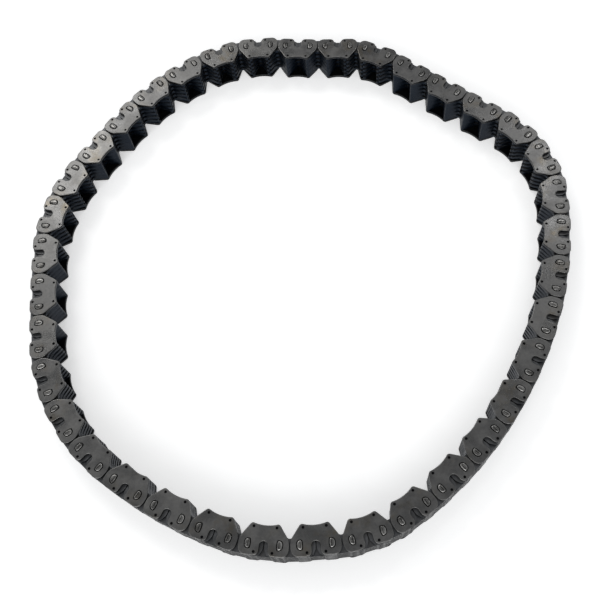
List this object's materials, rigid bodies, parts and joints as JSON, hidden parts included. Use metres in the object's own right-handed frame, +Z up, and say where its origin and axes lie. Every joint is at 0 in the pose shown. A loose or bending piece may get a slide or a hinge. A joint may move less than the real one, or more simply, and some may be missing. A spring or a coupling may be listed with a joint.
{
  "type": "silent chain",
  "caption": "Endless inverted-tooth drive chain laid on its side as a closed loop: toothed steel plates between guide plates, joined by rocker pins.",
  "frame": {"origin": "centre of the loop's bounding box, on the surface it lies on", "axes": "+Z up, across the width of the chain and along its pins; +X to the right and +Y away from the open side of view; the teeth point into the loop"},
  "size_m": [0.2322, 0.237, 0.017],
  "materials": {
    "guide_steel": "hardened steel, dark oiled grey with a soft gloss",
    "tooth_steel": "hardened steel, darker, oiled",
    "pin_steel": "hardened steel, ground and bright"
  },
  "bodies": {
    "segment_01": {"link_segment_01": "guide_steel"},
    "open_guide_link": {"guide_plate_lower": "guide_steel", "guide_plate_upper": "guide_steel", "guide_row_plate_1": "tooth_steel", "guide_row_plate_2": "tooth_steel", "guide_row_plate_3": "tooth_steel", "guide_row_plate_4": "tooth_steel", "long_pin_first": "pin_steel", "long_pin_second": "pin_steel"},
    "open_inner_link": {"inner_row_plate_1": "tooth_steel", "inner_row_plate_2": "tooth_steel", "inner_row_plate_3": "tooth_steel", "inner_row_plate_4": "tooth_steel", "inner_row_plate_5": "tooth_steel", "rocker_first": "pin_steel", "rocker_second": "pin_steel"},
    "segment_03": {"link_segment_03": "guide_steel"},
    "segments_04_to_06": {"link_segment_04": "guide_steel", "link_segment_05": "guide_steel", "link_segment_06": "guide_steel"},
    "segment_07": {"link_segment_07": "guide_steel"},
    "segment_08": {"link_segment_08": "guide_steel"},
    "segment_09": {"link_segment_09": "guide_steel"},
    "segment_10": {"link_segment_10": "guide_steel"},
    "segment_11": {"link_segment_11": "guide_steel"},
    "segment_12": {"link_segment_12": "guide_steel"},
    "segment_13": {"link_segment_13": "guide_steel"},
    "segment_14": {"link_segment_14": "guide_steel"},
    "segment_15": {"link_segment_15": "guide_steel"},
    "segments_16_to_18": {"link_segment_16": "guide_steel", "link_segment_17": "guide_steel", "link_segment_18": "guide_steel"},
    "segment_19": {"link_segment_19": "guide_steel"},
    "segment_20": {"link_segment_20": "guide_steel"},
    "segment_21": {"link_segment_21": "guide_steel"},
    "segment_22": {"link_segment_22": "guide_steel"},
    "segments_23_to_24": {"link_segment_23": "guide_steel", "link_segment_24": "guide_steel"},
    "segment_25": {"link_segment_25": "guide_steel"},
    "segments_26_to_27": {"link_segment_26": "guide_steel", "link_segment_27": "guide_steel"},
    "segment_28": {"link_segment_28": "guide_steel"},
    "segment_29": {"link_segment_29": "guide_steel"},
    "segment_30": {"link_segment_30": "guide_steel"},
    "segment_31": {"link_segment_31": "guide_steel"},
    "segment_32": {"link_segment_32": "guide_steel"},
    "segments_33_to_34": {"link_segment_33": "guide_steel", "link_segment_34": "guide_steel"},
    "segment_35": {"link_segment_35": "guide_steel"},
    "segment_36": {"link_segment_36": "guide_steel"},
    "segment_37": {"link_segment_37": "guide_steel"}
  },
  "joints": [
    {"name": "hinge_19_20", "type": "hinge", "parent": "segment_19", "child": "segment_20", "pos_m": [0.03308, 0.10696, 0.0085], "axis": [0, 0, 1], "range_deg": [-10.4, 10.4]},
    {"name": "hinge_20_21", "type": "hinge", "parent": "segment_20", "child": "segment_21", "pos_m": [0.01426, 0.10985, 0.0085], "axis": [0, 0, 1], "range_deg": [-1.95, 1.95]},
    {"name": "hinge_21_22", "type": "hinge", "parent": "segment_21", "child": "segment_22", "pos_m": [-0.00439, 0.11373, 0.0085], "axis": [0, 0, 1], "range_deg": [-7.1, 7.1]},
    {"name": "hinge_22_23", "type": "hinge", "parent": "segment_22", "child": "segments_23_to_24", "pos_m": [-0.02339, 0.11359, 0.0085], "axis": [0, 0, 1], "range_deg": [-5.27, 5.27]},
    {"name": "hinge_24_25", "type": "hinge", "parent": "segments_23_to_24", "child": "segment_25", "pos_m": [-0.05798, 0.09831, 0.0085], "axis": [0, 0, 1], "range_deg": [-2.9, 2.9]},
    {"name": "hinge_25_26", "type": "hinge", "parent": "segment_25", "child": "segments_26_to_27", "pos_m": [-0.07254, 0.08605, 0.0085], "axis": [0, 0, 1], "range_deg": [-3.59, 3.59]},
    {"name": "hinge_27_28", "type": "hinge", "parent": "segments_26_to_27", "child": "segment_28", "pos_m": [-0.09774, 0.05748, 0.0085], "axis": [0, 0, 1], "range_deg": [-6.79, 6.79]},
    {"name": "hinge_28_29", "type": "hinge", "parent": "segment_28", "child": "segment_29", "pos_m": [-0.10698, 0.04087, 0.0085], "axis": [0, 0, 1], "range_deg": [-9.64, 9.64]},
    {"name": "hinge_29_30", "type": "hinge", "parent": "segment_29", "child": "segment_30", "pos_m": [-0.11149, 0.02241, 0.0085], "axis": [0, 0, 1], "range_deg": [-6.56, 6.56]},
    {"name": "hinge_30_31", "type": "hinge", "parent": "segment_30", "child": "segment_31", "pos_m": [-0.11204, 0.00337, 0.0085], "axis": [0, 0, 1], "range_deg": [-1.63, 1.63]},
    {"name": "hinge_31_32", "type": "hinge", "parent": "segment_31", "child": "segment_32", "pos_m": [-0.11193, -0.01568, 0.0085], "axis": [0, 0, 1], "range_deg": [-3.47, 3.47]},
    {"name": "hinge_32_33", "type": "hinge", "parent": "segment_32", "child": "segments_33_to_34", "pos_m": [-0.1102, -0.03462, 0.0085], "axis": [0, 0, 1], "range_deg": [-4.48, 4.48]},
    {"name": "hinge_34_35", "type": "hinge", "parent": "segments_33_to_34", "child": "segment_35", "pos_m": [-0.09423, -0.06887, 0.0085], "axis": [0, 0, 1], "range_deg": [-5.04, 5.04]},
    {"name": "hinge_35_36", "type": "hinge", "parent": "segment_35", "child": "segment_36", "pos_m": [-0.08086, -0.0824, 0.0085], "axis": [0, 0, 1], "range_deg": [-5.32, 5.32]},
    {"name": "hinge_36_37", "type": "hinge", "parent": "segment_36", "child": "segment_37", "pos_m": [-0.06571, -0.09394, 0.0085], "axis": [0, 0, 1], "range_deg": [-5.06, 5.06]},
    {"name": "hinge_18_19", "type": "hinge", "parent": "segment_19", "child": "segments_16_to_18", "pos_m": [0.0502, 0.09883, 0.0085], "axis": [0, 0, 1], "range_deg": [-10.68, 10.68]},
    {"name": "hinge_15_16", "type": "hinge", "parent": "segments_16_to_18", "child": "segment_15", "pos_m": [0.09218, 0.06005, 0.0085], "axis": [0, 0, 1], "range_deg": [-3.13, 3.13]},
    {"name": "hinge_14_15", "type": "hinge", "parent": "segment_15", "child": "segment_14", "pos_m": [0.10482, 0.04591, 0.0085], "axis": [0, 0, 1], "range_deg": [-6.38, 6.38]},
    {"name": "hinge_13_14", "type": "hinge", "parent": "segment_14", "child": "segment_13", "pos_m": [0.11129, 0.02809, 0.0085], "axis": [0, 0, 1], "range_deg": [-4.36, 4.36]},
    {"name": "hinge_12_13", "type": "hinge", "parent": "segment_13", "child": "segment_12", "pos_m": [0.11074, 0.00913, 0.0085], "axis": [0, 0, 1], "range_deg": [-5.44, 5.44]},
    {"name": "hinge_11_12", "type": "hinge", "parent": "segment_12", "child": "segment_11", "pos_m": [0.10672, -0.00948, 0.0085], "axis": [0, 0, 1], "range_deg": [-5.03, 5.03]},
    {"name": "hinge_10_11", "type": "hinge", "parent": "segment_11", "child": "segment_10", "pos_m": [0.10051, -0.02749, 0.0085], "axis": [0, 0, 1], "range_deg": [-6.11, 6.11]},
    {"name": "hinge_09_10", "type": "hinge", "parent": "segment_10", "child": "segment_09", "pos_m": [0.09221, -0.04462, 0.0085], "axis": [0, 0, 1], "range_deg": [-6.42, 6.42]},
    {"name": "hinge_08_09", "type": "hinge", "parent": "segment_09", "child": "segment_08", "pos_m": [0.08194, -0.06066, 0.0085], "axis": [0, 0, 1], "range_deg": [-5.81, 5.81]},
    {"name": "hinge_07_08", "type": "hinge", "parent": "segment_08", "child": "segment_07", "pos_m": [0.06984, -0.07536, 0.0085], "axis": [0, 0, 1], "range_deg": [-4.39, 4.39]},
    {"name": "hinge_06_07", "type": "hinge", "parent": "segment_07", "child": "segments_04_to_06", "pos_m": [0.05608, -0.08852, 0.0085], "axis": [0, 0, 1], "range_deg": [-2.39, 2.39]},
    {"name": "hinge_03_04", "type": "hinge", "parent": "segments_04_to_06", "child": "segment_03", "pos_m": [0.006, -0.11427, 0.0085], "axis": [0, 0, 1], "range_deg": [-4.57, 4.57]},
    {"name": "hinge_inner_02_03", "type": "hinge", "parent": "segment_03", "child": "open_inner_link", "pos_m": [-0.01304, -0.11396, 0.0085], "axis": [0, 0, 1], "range_deg": [-1.63, 1.63]},
    {"name": "hinge_guide_02_inner_02", "type": "hinge", "parent": "open_inner_link", "child": "open_guide_link", "pos_m": [-0.02252, -0.11307, 0.0085], "axis": [0, 0, 1], "range_deg": [-3.43, 3.43]},
    {"name": "hinge_01_guide_02", "type": "hinge", "parent": "open_guide_link", "child": "segment_01", "pos_m": [-0.03183, -0.11104, 0.0085], "axis": [0, 0, 1], "range_deg": [-6.75, 6.75]}
  ],
  "couplings": [
    {"joint": "hinge_20_21", "follows": "hinge_19_20", "ratio": -0.18735},
    {"joint": "hinge_21_22", "follows": "hinge_19_20", "ratio": 0.68234},
    {"joint": "hinge_22_23", "follows": "hinge_19_20", "ratio": 0.50648},
    {"joint": "hinge_24_25", "follows": "hinge_19_20", "ratio": -0.27842},
    {"joint": "hinge_25_26", "follows": "hinge_19_20", "ratio": -0.34478},
    {"joint": "hinge_27_28", "follows": "hinge_19_20", "ratio": -0.65238},
    {"joint": "hinge_28_29", "follows": "hinge_19_20", "ratio": -0.92599},
    {"joint": "hinge_29_30", "follows": "hinge_19_20", "ratio": -0.62967},
    {"joint": "hinge_30_31", "follows": "hinge_19_20", "ratio": -0.15666},
    {"joint": "hinge_31_32", "follows": "hinge_19_20", "ratio": -0.33282},
    {"joint": "hinge_32_33", "follows": "hinge_19_20", "ratio": -0.43015},
    {"joint": "hinge_34_35", "follows": "hinge_19_20", "ratio": 0.48419},
    {"joint": "hinge_35_36", "follows": "hinge_19_20", "ratio": 0.51055},
    {"joint": "hinge_36_37", "follows": "hinge_19_20", "ratio": 0.48555},
    {"joint": "hinge_18_19", "follows": "hinge_19_20", "ratio": -1.0258},
    {"joint": "hinge_15_16", "follows": "hinge_19_20", "ratio": -0.30018},
    {"joint": "hinge_14_15", "follows": "hinge_19_20", "ratio": -0.61275},
    {"joint": "hinge_13_14", "follows": "hinge_19_20", "ratio": 0.41839},
    {"joint": "hinge_12_13", "follows": "hinge_19_20", "ratio": 0.52286},
    {"joint": "hinge_11_12", "follows": "hinge_19_20", "ratio": 0.48255},
    {"joint": "hinge_10_11", "follows": "hinge_19_20", "ratio": 0.58667},
    {"joint": "hinge_09_10", "follows": "hinge_19_20", "ratio": 0.61654},
    {"joint": "hinge_08_09", "follows": "hinge_19_20", "ratio": 0.55767},
    {"joint": "hinge_07_08", "follows": "hinge_19_20", "ratio": 0.42121},
    {"joint": "hinge_06_07", "follows": "hinge_19_20", "ratio": 0.22977},
    {"joint": "hinge_03_04", "follows": "hinge_19_20", "ratio": -0.43855},
    {"joint": "hinge_inner_02_03", "follows": "hinge_19_20", "ratio": -0.15613},
    {"joint": "hinge_guide_02_inner_02", "follows": "hinge_19_20", "ratio": -0.32945},
    {"joint": "hinge_01_guide_02", "follows": "hinge_19_20", "ratio": -0.64873}
  ]
}
